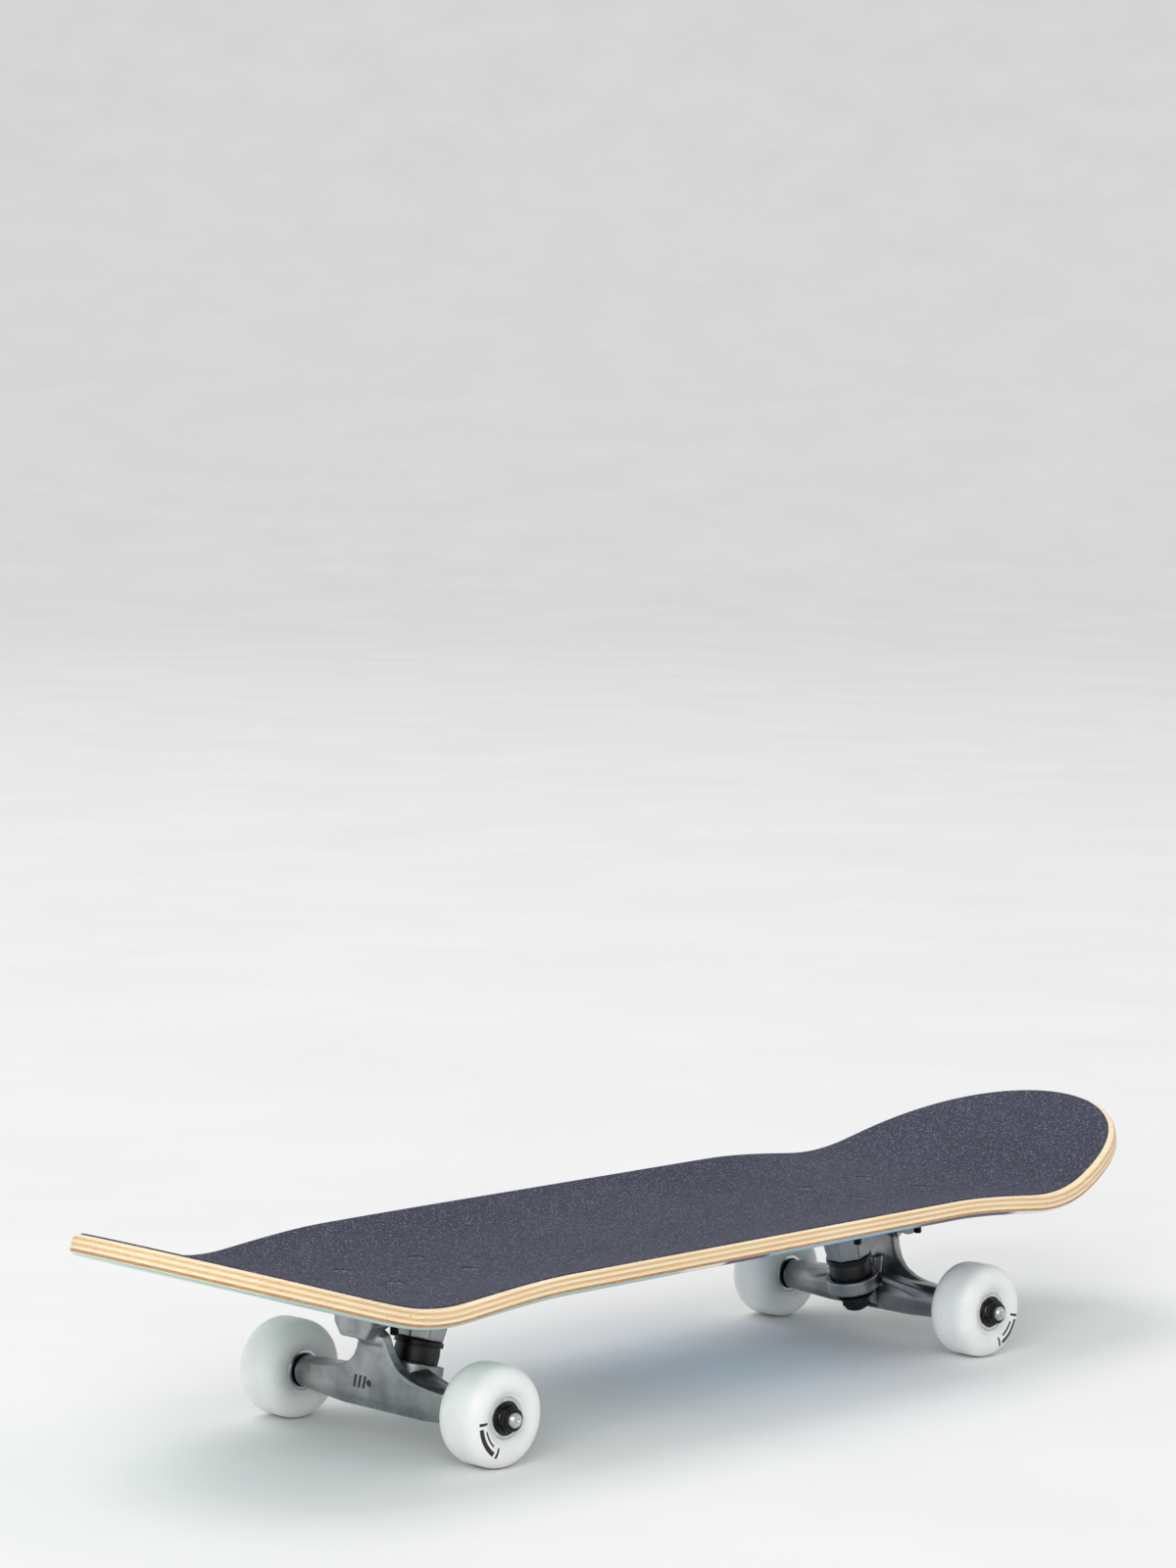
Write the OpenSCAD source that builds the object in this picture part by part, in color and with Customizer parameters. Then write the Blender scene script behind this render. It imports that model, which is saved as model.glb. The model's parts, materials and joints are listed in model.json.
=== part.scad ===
// Complete skateboard: seven-ply deck with grip tape, two standard-kingpin trucks,
// four wheels on ball bearings, and all their hardware.
// Millimetres. +X points to the nose, +Y to the rider's left, +Z up.
// The origin is on the ground, under the middle of the board's plan.

/* [Deck] */
// Full width of the deck over its rounded edges
deck_w = 196; // [185:1:215]
// Length along the curved surface from the reference station to the nose tip
nose_len = 380; // [365:1:400]
// Length along the curved surface from the reference station to the tail tip
tail_len = 381.2; // [365:0.1:400]
// Thickness of one maple ply
ply_t = 1.5; // [1.2:0.05:1.6]
// Thickness of the grip tape
grip_t = 0.8; // [0.5:0.1:1]
// How far the grip tape stops short of the widest line of the edge
grip_inset = 3.5; // [3:0.1:5]
// Radius of the rounded top and bottom edges
edge_r = 3.2; // [1:0.1:4]
// Height of the concave at the rails, above the flat middle
concave_h = 9.5; // [0:0.5:12]
// Half-width of the flat middle of the concave
concave_flat = 30; // [28:0.5:34]

/* [Kicks] */
// Reference station to the start of the nose kick
nose_flat = 229.5; // [222:0.5:240]
// Reference station to the start of the tail kick
tail_flat = 224; // [215:0.5:235]
// Angle of the nose above the flat
nose_angle = 17.7; // [10:0.1:24]
// Angle of the tail above the flat
tail_angle = 17.5; // [10:0.1:24]
// Bend radius of the nose kick
nose_bend_r = 154; // [90:1:180]
// Bend radius of the tail kick
tail_bend_r = 135; // [90:1:180]

/* [Trucks] */
// Distance between the two axles
axle_base = 390.4; // [370:0.2:395]
// Middle between the axles, measured from the reference station towards the nose
truck_shift = 4.6; // [0:0.1:8]
// Height from the axle centre to the deck's underside
truck_h = 50.5; // [48:0.5:56]
// Full length of the axle, tip to tip
axle_len = 192.4; // [190:0.2:200]
// Width of the hanger between the wheel shoulders
hanger_w = 127; // [125:0.5:130]
// Lean of the kingpin from the vertical
kingpin_tilt = 15; // [10:1:20]

/* [Bolt pattern] */
// Hole spacing along the board
bolts_long = 53.98; // [53.98:0.01:53.98]
// Hole spacing across the board
bolts_wide = 41.28; // [41.28:0.01:41.28]

/* [Wheels] */
// Radius of a wheel
wheel_r = 26.5; // [25:0.25:27]
// Width of a wheel
wheel_w = 29; // [28:0.5:31]
// Width of the flat running band
tread_w = 9; // [6:0.5:14]

/* [Hidden] */
$fn = 64;
nose = 1;
tail = -1;
left = 1;
right = -1;
eps = 0.01;

// ---- Deck surface ----
ply_count = 7;
deck_t = ply_count * ply_t;
deck_z = wheel_r + truck_h;
top_z = deck_z + deck_t + grip_t;

// Plan outline: where each end starts to round, and how full it is
nose_round_start = 180;
tail_round_start = 223;
nose_power = 3.28;
nose_fullness = 1.98;
tail_power = 3.3;
tail_fullness = 1.93;
tail_taper = 4.6;
taper_start = 60;
taper_run = 240;

// The concave fades out over this stretch towards each tip
concave_power = 1.96;
fade_start = 73;
fade_run = 135;

function end_len(e) = e > 0 ? nose_len : tail_len;
function end_flat(e) = e > 0 ? nose_flat : tail_flat;
function end_angle(e) = e > 0 ? nose_angle : tail_angle;
function end_bend(e) = e > 0 ? nose_bend_r : tail_bend_r;
function end_round(e) = e > 0 ? nose_round_start : tail_round_start;
function end_power(e) = e > 0 ? nose_power : tail_power;
function end_fullness(e) = e > 0 ? nose_fullness : tail_fullness;
function end_taper(e) = e > 0 ? 0 : tail_taper;
function clamp01(u) = min(1, max(0, u));
function smooth(u) = u * u * (3 - 2 * u);

// Half-width at distance a from the reference station, inset from the edge
function half_width(e, a, inset) =
    let(
        u = clamp01((a - end_round(e)) / (end_len(e) - inset - end_round(e))),
        base = deck_w / 2 - inset - end_taper(e) * pow(max(0, a - taper_start) / taper_run, 2)
    )
    base * pow(1 - pow(u, end_power(e)), 1 / end_fullness(e));

// Bend angle, reach and rise of the middle line at distance a
function bend_at(e, a) =
    min(end_angle(e), max(0, a - end_flat(e)) / end_bend(e) * 180 / PI);
function straight_at(e, a) =
    max(0, a - end_flat(e) - end_bend(e) * end_angle(e) * PI / 180);
function reach_at(e, a) =
    min(a, end_flat(e)) + end_bend(e) * sin(bend_at(e, a)) + straight_at(e, a) * cos(end_angle(e));
function rise_at(e, a) =
    end_bend(e) * (1 - cos(bend_at(e, a))) + straight_at(e, a) * sin(end_angle(e));

// Height of the concave above the flat at distance a and offset y
function concave_at(e, a, y) =
    let(
        u = max(0, (abs(y) - concave_flat) / (deck_w / 2 - concave_flat)),
        fade = 1 - smooth(clamp01((a - end_flat(e) + fade_start) / fade_run))
    )
    concave_h * pow(u, concave_power) * fade;

// The reference station sits where it centres the plan on the origin
mid_x = (reach_at(tail, tail_len) - reach_at(nose, nose_len)) / 2;

// A point of the deck: h is measured down from the grip's top surface
function deck_point(e, a, y, h) =
    let(
        t = bend_at(e, a),
        n = concave_at(e, a, y) - h
    )
    [mid_x + e * (reach_at(e, a) - sin(t) * n), y, top_z + rise_at(e, a) + cos(t) * n];

// How far the rounded edge draws in at depth h below the grip's top surface
function edge_inset(h) =
    let(
        d = abs(h - grip_t - deck_t / 2),
        over = max(0, d - (deck_t / 2 - edge_r))
    )
    edge_r - sqrt(max(0, edge_r * edge_r - over * over));

// Stations along each end, closer together towards the tip
end_steps = 16;
station_start = 100;
tip_trim = 0.003;
function station(e, i, inset) =
    station_start
    + (end_len(e) - inset - station_start) * (1 - tip_trim) * sin(90 * i / end_steps);

// Columns across the board, as fractions of the half-width
columns = [-1, -0.87, -0.72, -0.52, -0.305, 0.305, 0.52, 0.72, 0.87, 1];

function deck_row(e, i, h, inset) =
    let(a = station(e, i, inset), w = half_width(e, a, inset))
    [for (c = columns) deck_point(e, a, c * w, h)];

function deck_sheet(h, inset) = [
    for (k = [0 : 2 * end_steps + 1])
        let(
            e = k <= end_steps ? tail : nose,
            i = k <= end_steps ? end_steps - k : k - end_steps - 1
        )
        for (p = deck_row(e, i, h, inset)) p
];

// A curved layer of the deck between the depths h_top and h_bottom
module deck_layer(h_top, h_bottom, inset_top, inset_bottom) {
    rows = 2 * end_steps + 2;
    cols = len(columns);
    n = rows * cols;
    points = concat(deck_sheet(h_top, inset_top), deck_sheet(h_bottom, inset_bottom));
    faces = concat(
        [for (i = [0 : rows - 2], j = [0 : cols - 2]) each [
            [i * cols + j, i * cols + j + 1, (i + 1) * cols + j + 1],
            [i * cols + j, (i + 1) * cols + j + 1, (i + 1) * cols + j],
            [n + i * cols + j, n + (i + 1) * cols + j + 1, n + i * cols + j + 1],
            [n + i * cols + j, n + (i + 1) * cols + j, n + (i + 1) * cols + j + 1]
        ]],
        [for (i = [0 : rows - 2]) each [
            [i * cols, (i + 1) * cols, n + (i + 1) * cols],
            [i * cols, n + (i + 1) * cols, n + i * cols],
            [i * cols + cols - 1, n + (i + 1) * cols + cols - 1, (i + 1) * cols + cols - 1],
            [i * cols + cols - 1, n + i * cols + cols - 1, n + (i + 1) * cols + cols - 1]
        ]],
        [for (j = [0 : cols - 2]) each [
            [j, n + j + 1, j + 1],
            [j, n + j, n + j + 1],
            [(rows - 1) * cols + j, (rows - 1) * cols + j + 1, n + (rows - 1) * cols + j + 1],
            [(rows - 1) * cols + j, n + (rows - 1) * cols + j + 1, n + (rows - 1) * cols + j]
        ]]
    );
    polyhedron(points, faces, convexity = 6);
}

// ---- Truck frames ----
// In a truck's own frame the origin is the axle's centre and +X points inboard.
function axle_x(e) = mid_x + truck_shift + e * axle_base / 2;

module at_truck(e) {
    translate([axle_x(e), 0, wheel_r])
        rotate([0, 0, e > 0 ? 180 : 0])
            children();
}

// The kingpin frame starts at the face of the baseplate's boss, +Z up the kingpin
boss_x = 22.9;
boss_z = 23.8;
module kingpin_frame() {
    translate([boss_x, 0, boss_z])
        rotate([0, kingpin_tilt, 0])
            children();
}

// The steering axis runs from the ring's centre to the pivot's tip
ring_drop = 16.7;
ring_x = boss_x - ring_drop * sin(kingpin_tilt);
ring_z = boss_z - ring_drop * cos(kingpin_tilt);
pivot_x = -19.5;
pivot_z = 37;
steer_len = norm([pivot_x - ring_x, pivot_z - ring_z]);
steer_angle = atan2(pivot_z - ring_z, ring_x - pivot_x);
module steer_frame() {
    translate([ring_x, 0, ring_z])
        rotate([0, steer_angle - 90, 0])
            children();
}

module along_y() {
    rotate([-90, 0, 0]) children();
}

// Extrudes an outline drawn in X and Z to half_w on each side of the middle
module across(half_w) {
    translate([0, half_w, 0])
        rotate([90, 0, 0])
            linear_extrude(2 * half_w)
                children();
}

// ---- Hardware sizes ----
bolt_r = 2.4;
bolt_hole_r = 2.7;
bolt_head_r = 4.7;
bolt_head_h = 2.4;
bolt_sink = 0.3;
bolt_len = 27;
bolt_mid_x = 12.2;
hex_corner = 1 / cos(30);
deck_nut_r = 4.76 * hex_corner;
deck_nut_h = 5.4;

plate_t = 5.5;
plate_back = -26;
plate_front = 50;
plate_half_w = 28;
plate_corner = 9;

kingpin_r = 4.76;
kingpin_hole_r = 4.82;
kingpin_head_r = 7.14 * hex_corner;
kingpin_head_z = 18.6;
kingpin_head_h = 5.6;
kingpin_end = -34.4;

board_cup_r = 13.3;
bushing_r = 12.1;
bushing_hole_r = 5.1;
washer_t = 1.6;
cup_wall = 0.8;
board_cup_h = 3;
seat_z = -13.9;
seat_depth = 1.6;
ring_r = 15.8;
ring_hole_r = 8;
road_seat_z = -18.6;
ring_bottom = -20.6;
road_bushing_top_r = 11.9;
road_bushing_r = 9.6;
road_washer_z = -24.3;
road_washer_r = 10.6;
nut_z = road_washer_z - washer_t;
kingpin_nut_r = 7.14 * hex_corner;
kingpin_nut_h = 7.2;
collar_h = 2;
gap = 0.05;

pivot_r = 3.9;
pivot_clear = 0.08;
pivot_reach = 0.7;
pivot_cup_wall = 1.2;
pivot_cup_depth = 4.5;
pivot_cup_floor = 1;
block_face = steer_len - 2.57;
neck_room = 0.9;

axle_r = 3.97;
axle_bore_r = 4.0;
shoulder_y = hanger_w / 2;
axle_washer_t = 0.8;
axle_washer_r = 6.2;
axle_nut_r = 6.35 * hex_corner;
axle_nut_h = 5.4;

bearing_w = 7;
spacer_w = 10;
hub_w = 2 * bearing_w + spacer_w;
hub_y = shoulder_y + axle_washer_t + hub_w / 2;
race_bore_r = 4.0;
inner_land_r = 6.0;
outer_land_r = 8.9;
race_r = 11;
ball_count = 7;
ball_pitch_r = 7.5;
ball_r = 1.85;
groove_r = 2.05;
seat_r = 11.03;
core_hole_r = 9.4;
spacer_r = 5.5;
shield_inner_r = 6.3;
shield_outer_r = 8.85;
shield_t = 0.4;
shield_set = 0.35;
cage_inner_r = 6.8;
cage_outer_r = 8.2;
cage_w = 5;
pocket_r = 1.95;

// ---- Deck parts ----
module bolt_places() {
    for (sx = [-1, 1], sy = [-1, 1])
        translate([bolt_mid_x + sx * bolts_long / 2, sy * bolts_wide / 2, 0])
            children();
}

module bolt_seats() {
    for (e = [nose, tail])
        at_truck(e)
            bolt_places() {
                translate([0, 0, truck_h - 1])
                    cylinder(h = deck_t + grip_t + 2, r = bolt_hole_r);
                translate([0, 0, truck_h + deck_t + grip_t - bolt_sink - bolt_head_h])
                    cylinder(h = bolt_head_h, r1 = bolt_hole_r, r2 = bolt_head_r + 0.15);
                translate([0, 0, truck_h + deck_t + grip_t - bolt_sink - eps])
                    cylinder(h = 1, r = bolt_head_r + 0.15);
            }
}

module griptape() {
    color([0.27, 0.29, 0.34])
        difference() {
            deck_layer(0, grip_t - gap, grip_inset, grip_inset);
            bolt_seats();
        }
}

ply_colors = [
    [0.62, 0.83, 0.77], [0.80, 0.66, 0.47], [0.95, 0.89, 0.76], [0.74, 0.56, 0.37],
    [0.95, 0.89, 0.76], [0.82, 0.66, 0.46], [0.96, 0.92, 0.82]
];

// Plies are numbered from the underside up
module deck_ply(k) {
    h_top = grip_t + (ply_count - k) * ply_t;
    h_bottom = h_top + ply_t;
    color(ply_colors[k - 1])
        difference() {
            deck_layer(h_top, h_bottom, edge_inset(h_top), edge_inset(h_bottom));
            bolt_seats();
        }
}

module deck_bolts(e) {
    head_top = truck_h + deck_t + grip_t - bolt_sink;
    color([0.06, 0.06, 0.07])
        at_truck(e)
            bolt_places()
                difference() {
                    union() {
                        translate([0, 0, head_top - bolt_len])
                            cylinder(h = bolt_len - 1, r = bolt_r);
                        translate([0, 0, head_top - bolt_head_h])
                            cylinder(h = bolt_head_h, r1 = bolt_r, r2 = bolt_head_r);
                    }
                    for (turn = [0, 90])
                        translate([0, 0, head_top])
                            rotate([0, 0, turn])
                                cube([4.4, 1, 2.4], center = true);
                }
}

module deck_nuts(e) {
    color([0.10, 0.10, 0.11])
        at_truck(e)
            bolt_places()
                translate([0, 0, truck_h - plate_t - deck_nut_h])
                    difference() {
                        union() {
                            translate([0, 0, 1.6])
                                cylinder(h = deck_nut_h - 1.6, r = deck_nut_r, $fn = 6);
                            cylinder(h = 2, r = 4.2);
                        }
                        translate([0, 0, -1])
                            cylinder(h = deck_nut_h + 2, r = bolt_r + gap);
                    }
}

// ---- Truck parts ----
module plate_outline(h) {
    x0 = plate_back + plate_corner;
    x1 = plate_front - plate_corner;
    y1 = plate_half_w - plate_corner;
    translate([x0, -plate_half_w, 0])
        cube([x1 - x0, 2 * plate_half_w, h]);
    translate([plate_back, -y1, 0])
        cube([plate_front - plate_back, 2 * y1, h]);
    for (x = [x0, x1], y = [-y1, y1])
        translate([x, y, 0])
            cylinder(h = h, r = plate_corner);
}

module baseplate(e) {
    cup_r = pivot_r + pivot_clear + pivot_cup_wall;
    color([0.52, 0.53, 0.54])
        at_truck(e)
            difference() {
                union() {
                    translate([0, 0, truck_h - plate_t])
                        plate_outline(plate_t);
                    // Boss that carries the kingpin
                    intersection() {
                        kingpin_frame()
                            rotate([0, 0, 22.5])
                                cylinder(h = 30, r1 = 13.4, r2 = 17.4, $fn = 8);
                        translate([-50, -50, 0])
                            cube([150, 100, truck_h - 1]);
                    }
                    // Block that carries the pivot cup
                    hull() {
                        across(9.4)
                            polygon([[-25, 31], [-20.2, 31], [-10.5, 35.5], [-10.5, 37], [-25.2, 36]]);
                        across(14)
                            polygon([[-25.4, 38], [-8.5, 38.5], [-6, 46], [-25.9, 46]]);
                    }
                    // Raised bar on the block's outer face
                    across(4)
                        polygon([[-25.9, 34.5], [-24, 34.5], [-24, 43], [-26, 43]]);
                    // Rib between the two
                    translate([0, -3, truck_h - 15])
                        cube([24, 6, 12]);
                }
                kingpin_frame() {
                    translate([0, 0, -1])
                        cylinder(h = 40, r = kingpin_hole_r);
                    translate([0, 0, kingpin_head_z])
                        cylinder(h = 20, r = kingpin_head_r + 0.1, $fn = 6);
                }
                // Pocket for the cup, and room for the neck below it
                steer_frame() {
                    translate([0, 0, block_face - 1])
                        cylinder(h = 1 + pivot_cup_depth, r = cup_r + gap);
                    translate([0, 0, block_face - 16])
                        cylinder(h = 16, r = neck_end_r + neck_room);
                }
                translate([0, 0, truck_h - plate_t - 10])
                    bolt_places()
                        cylinder(h = 20, r = bolt_hole_r);
                // Flats that let the nuts sit against the plate
                translate([0, 0, truck_h - plate_t - 30])
                    bolt_places()
                        cylinder(h = 30, r = deck_nut_r + 1.2);
            }
}

module pivot_cup(e) {
    color([0.12, 0.12, 0.13])
        at_truck(e)
            steer_frame()
                translate([0, 0, block_face])
                    difference() {
                        cylinder(h = pivot_cup_depth, r = pivot_r + pivot_clear + pivot_cup_wall);
                        translate([0, 0, -1])
                            cylinder(h = 1 + pivot_cup_depth - pivot_cup_floor, r = pivot_r + pivot_clear);
                    }
}

module kingpin(e) {
    color([0.10, 0.10, 0.11])
        at_truck(e)
            kingpin_frame() {
                translate([0, 0, kingpin_end])
                    cylinder(h = kingpin_head_z - kingpin_end + 1, r = kingpin_r);
                translate([0, 0, kingpin_head_z + gap])
                    cylinder(h = kingpin_head_h, r = kingpin_head_r, $fn = 6);
            }
}

module kingpin_nut(e) {
    color([0.08, 0.08, 0.09])
        at_truck(e)
            kingpin_frame()
                translate([0, 0, nut_z - kingpin_nut_h])
                    difference() {
                        union() {
                            translate([0, 0, collar_h])
                                cylinder(h = kingpin_nut_h - collar_h, r = kingpin_nut_r, $fn = 6);
                            cylinder(h = collar_h + 1, r = kingpin_nut_r * 0.82);
                        }
                        translate([0, 0, -1])
                            cylinder(h = kingpin_nut_h + 2, r = kingpin_r + gap);
                    }
}

module board_washer(e) {
    color([0.07, 0.07, 0.08])
        at_truck(e)
            kingpin_frame()
                translate([0, 0, -board_cup_h])
                    difference() {
                        cylinder(h = board_cup_h, r = board_cup_r);
                        translate([0, 0, -1])
                            cylinder(h = 1 + board_cup_h - washer_t, r = board_cup_r - cup_wall);
                        translate([0, 0, -1])
                            cylinder(h = board_cup_h + 2, r = kingpin_r + 0.2);
                    }
}

module road_washer(e) {
    color([0.07, 0.07, 0.08])
        at_truck(e)
            kingpin_frame()
                translate([0, 0, road_washer_z - washer_t])
                    difference() {
                        cylinder(h = washer_t, r = road_washer_r);
                        translate([0, 0, -1])
                            cylinder(h = washer_t + 2, r = kingpin_r + 0.2);
                    }
}

// Barrel bushing between the baseplate and the ring
module board_bushing(e) {
    h = -washer_t - seat_z - 2 * gap;
    color([0.05, 0.05, 0.06])
        at_truck(e)
            kingpin_frame()
                translate([0, 0, seat_z + gap])
                    difference() {
                        cylinder(h = h, r = bushing_r);
                        translate([0, 0, -1])
                            cylinder(h = h + 2, r = bushing_hole_r);
                    }
}

// Cone bushing between the ring and the nut
module road_bushing(e) {
    h = road_seat_z - road_washer_z - 2 * gap;
    color([0.05, 0.05, 0.06])
        at_truck(e)
            kingpin_frame()
                translate([0, 0, road_washer_z + gap])
                    difference() {
                        cylinder(h = h, r1 = road_bushing_r, r2 = road_bushing_top_r);
                        translate([0, 0, -1])
                            cylinder(h = h + 2, r = bushing_hole_r);
                    }
}

// Outline of the hanger's outer face: a neck that sweeps out into the two arms
neck_half_w = 9.2;
neck_end_r = 6.6;
neck_start = 38.5;
face_half_w = 51;
face_base_z = 5.2;
face_rise = 26;
face_power = 1.45;
face_bottom = -5.1;
face_bottom_rise = 3.7;
face_t = 6;
face_front = -8.4;
face_lean = 7;
face_steps = [neck_half_w, 10.5, 12.5, 15, 19, 25, 33, 42, face_half_w];
function face_top(y) = face_base_z + face_rise * pow(neck_half_w / y, face_power);
function face_low(y) = face_bottom + face_bottom_rise * pow(y / face_half_w, 2);

module face_outline() {
    n = len(face_steps) - 1;
    polygon(concat(
        [for (i = [n : -1 : 0]) [-face_steps[i], face_low(face_steps[i])]],
        [for (i = [0 : n]) [face_steps[i], face_low(face_steps[i])]],
        [for (i = [n : -1 : 0]) [face_steps[i], face_top(face_steps[i])]],
        [for (i = [0 : n]) [-face_steps[i], face_top(face_steps[i])]]
    ));
}

arm_r = 8.4;
beam_half_w = 30;
module beam_section() {
    polygon([
        [-7.5, -5.1], [-8.7, 6], [-7, 9.4], [4, 9.6], [8.6, 7], [9.6, 1],
        [8.4, -5], [5, -9.5], [-2, -11.3], [-6, -9.5]
    ]);
}

// A flange runs from beside the ring down to the end of the arm
module flange(s) {
    hull() {
        translate([0, s * 17 - 0.5, 8.9])
            cube([13, 1, 3.3]);
        translate([0, s * 52 - 0.5, 0])
            cube([7, 1, 5.5]);
    }
}

module hanger_body() {
    // Beam that blends from the chamfered middle into the round ends
    hull() {
        across(beam_half_w)
            beam_section();
        for (s = [-1, 1])
            translate([0, s * (shoulder_y - 2) - 2, 0])
                along_y()
                    cylinder(h = 4, r = arm_r, $fn = 28);
    }
    // Outer face
    translate([face_front, 0, 0])
        rotate([0, -face_lean, 0])
            rotate([90, 0, 90])
                linear_extrude(face_t)
                    face_outline();
    // Neck up to the pivot
    hull() {
        steer_frame()
            translate([0, 0, neck_start])
                cylinder(h = 1, r = neck_end_r + 0.15, $fn = 32);
        translate([face_front, 0, 0])
            rotate([0, -face_lean, 0])
                translate([0.1, 0.1 - neck_half_w, 27])
                    cube([face_t - 0.2, 2 * neck_half_w - 0.2, 4]);
    }
    steer_frame() {
        translate([0, 0, neck_start + 0.4])
            cylinder(h = block_face - 0.7 - neck_start, r = neck_end_r);
        translate([0, 0, neck_start + 2])
            cylinder(h = steer_len + pivot_reach - neck_start - 2, r = pivot_r);
    }
    // Ring, with a flange on each side
    kingpin_frame()
        translate([0, 0, ring_bottom])
            cylinder(h = seat_z + seat_depth - ring_bottom, r = ring_r);
    for (s = [-1, 1])
        flange(s);
    // Rib behind the neck
    translate([-8, -2.5, 6])
        cube([10, 5, 14]);
}

module hanger(e) {
    color([0.60, 0.61, 0.62])
        at_truck(e)
            difference() {
                hanger_body();
                kingpin_frame() {
                    translate([0, 0, kingpin_end])
                        cylinder(h = 30, r = ring_hole_r);
                    translate([0, 0, seat_z])
                        cylinder(h = 16, r = bushing_r + 0.4);
                    // Room for the lower bushing and the nut
                    translate([0, 0, kingpin_end - 1.5])
                        cylinder(h = road_seat_z + 1.5 - kingpin_end, r = road_bushing_top_r + 0.5);
                }
                translate([0, -shoulder_y - 1, 0])
                    along_y()
                        cylinder(h = 2 * shoulder_y + 2, r = axle_bore_r);
            }
}

module axle(e) {
    color([0.72, 0.73, 0.75])
        at_truck(e)
            translate([0, -axle_len / 2, 0])
                along_y() {
                    translate([0, 0, 0.8])
                        cylinder(h = axle_len - 1.6, r = axle_r);
                    cylinder(h = 0.8, r1 = axle_r - 0.8, r2 = axle_r);
                    translate([0, 0, axle_len - 0.8])
                        cylinder(h = 0.8, r1 = axle_r, r2 = axle_r - 0.8);
                }
}

// ---- Bearings and wheels ----
// One wheel's hub, its middle at the origin and its axis along Z, +Z outboard
module at_hub(e, s) {
    translate([axle_x(e), s * hub_y, wheel_r])
        rotate([s > 0 ? -90 : 90, 0, 0])
            children();
}

bearing_z = (spacer_w + bearing_w) / 2;
module at_bearings() {
    for (z = [-bearing_z, bearing_z])
        translate([0, 0, z])
            children();
}

module groove() {
    rotate_extrude()
        translate([ball_pitch_r, 0])
            circle(r = groove_r);
}

module inner_races(e) {
    color([0.75, 0.76, 0.78])
        for (s = [left, right])
            at_hub(e, s)
                at_bearings()
                    difference() {
                        cylinder(h = bearing_w - 2 * gap, r = inner_land_r, center = true);
                        cylinder(h = bearing_w + 1, r = race_bore_r, center = true);
                        groove();
                    }
}

module bearing_spacers(e) {
    color([0.68, 0.69, 0.71])
        for (s = [left, right])
            at_hub(e, s)
                difference() {
                    cylinder(h = spacer_w, r = spacer_r, center = true);
                    cylinder(h = spacer_w + 1, r = axle_bore_r + 0.1, center = true);
                }
}

module axle_washers(e) {
    z = hub_w / 2 + axle_washer_t / 2;
    color([0.70, 0.71, 0.73])
        for (s = [left, right], k = [-1, 1])
            at_hub(e, s)
                translate([0, 0, k * z])
                    difference() {
                        cylinder(h = axle_washer_t - 2 * gap, r = axle_washer_r, center = true);
                        cylinder(h = 2, r = axle_bore_r + 0.1, center = true);
                    }
}

module axle_nuts(e) {
    color([0.08, 0.08, 0.09])
        for (s = [left, right])
            at_hub(e, s)
                translate([0, 0, hub_w / 2 + axle_washer_t])
                    difference() {
                        union() {
                            cylinder(h = axle_nut_h - 1.6, r = axle_nut_r, $fn = 6);
                            cylinder(h = axle_nut_h, r = axle_nut_r * 0.8);
                        }
                        translate([0, 0, -1])
                            cylinder(h = axle_nut_h + 2, r = axle_bore_r);
                    }
}

// Half profile of the wheel: rounded lip, dished side and bearing seat
lip_r = 18;
side_mouth_r = 12.2;
side_mouth_z = 12.3;
lip_steps = 8;
lip_power = 0.86;
function lip_point(i) = [
    lip_r + (wheel_r - lip_r) * pow(cos(90 * i / lip_steps), lip_power),
    tread_w / 2 + (wheel_w - tread_w) / 2 * pow(sin(90 * i / lip_steps), lip_power)
];

module wheel(e, s) {
    half = concat(
        [[core_hole_r, 0], [core_hole_r, spacer_w / 2], [seat_r, spacer_w / 2], [seat_r, hub_w / 2]],
        [[side_mouth_r, side_mouth_z], [14.4, 13.8]],
        [for (i = [lip_steps : -1 : 0]) lip_point(i)],
        [[wheel_r, 0]]
    );
    color([0.93, 0.95, 0.93])
        at_hub(e, s)
            for (m = [0, 1])
                mirror([0, 0, m])
                    rotate_extrude()
                        polygon(half);
}

module outer_races(e, s) {
    color([0.78, 0.79, 0.80])
        at_hub(e, s)
            at_bearings()
                difference() {
                    cylinder(h = bearing_w - 2 * gap, r = race_r, center = true);
                    cylinder(h = bearing_w + 1, r = outer_land_r, center = true);
                    groove();
                }
}

module bearing_shields(e, s) {
    z = bearing_w / 2 - shield_set - shield_t / 2;
    color([0.06, 0.06, 0.07])
        at_hub(e, s)
            at_bearings()
                for (k = [-1, 1])
                    translate([0, 0, k * z])
                        difference() {
                            cylinder(h = shield_t, r = shield_outer_r, center = true);
                            cylinder(h = 2, r = shield_inner_r, center = true);
                        }
}

module at_balls() {
    for (i = [0 : ball_count - 1])
        rotate([0, 0, i * 360 / ball_count])
            translate([ball_pitch_r, 0, 0])
                children();
}

module balls(e, s) {
    color([0.82, 0.83, 0.85])
        at_hub(e, s)
            at_bearings()
                at_balls()
                    sphere(r = ball_r, $fn = 32);
}

module ball_cages(e, s) {
    color([0.85, 0.85, 0.80])
        at_hub(e, s)
            at_bearings()
                difference() {
                    cylinder(h = cage_w, r = cage_outer_r, center = true);
                    cylinder(h = cage_w + 1, r = cage_inner_r, center = true);
                    at_balls()
                        rotate([0, 90, 0])
                            cylinder(h = 4, r = pocket_r, center = true);
                }
}

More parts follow.
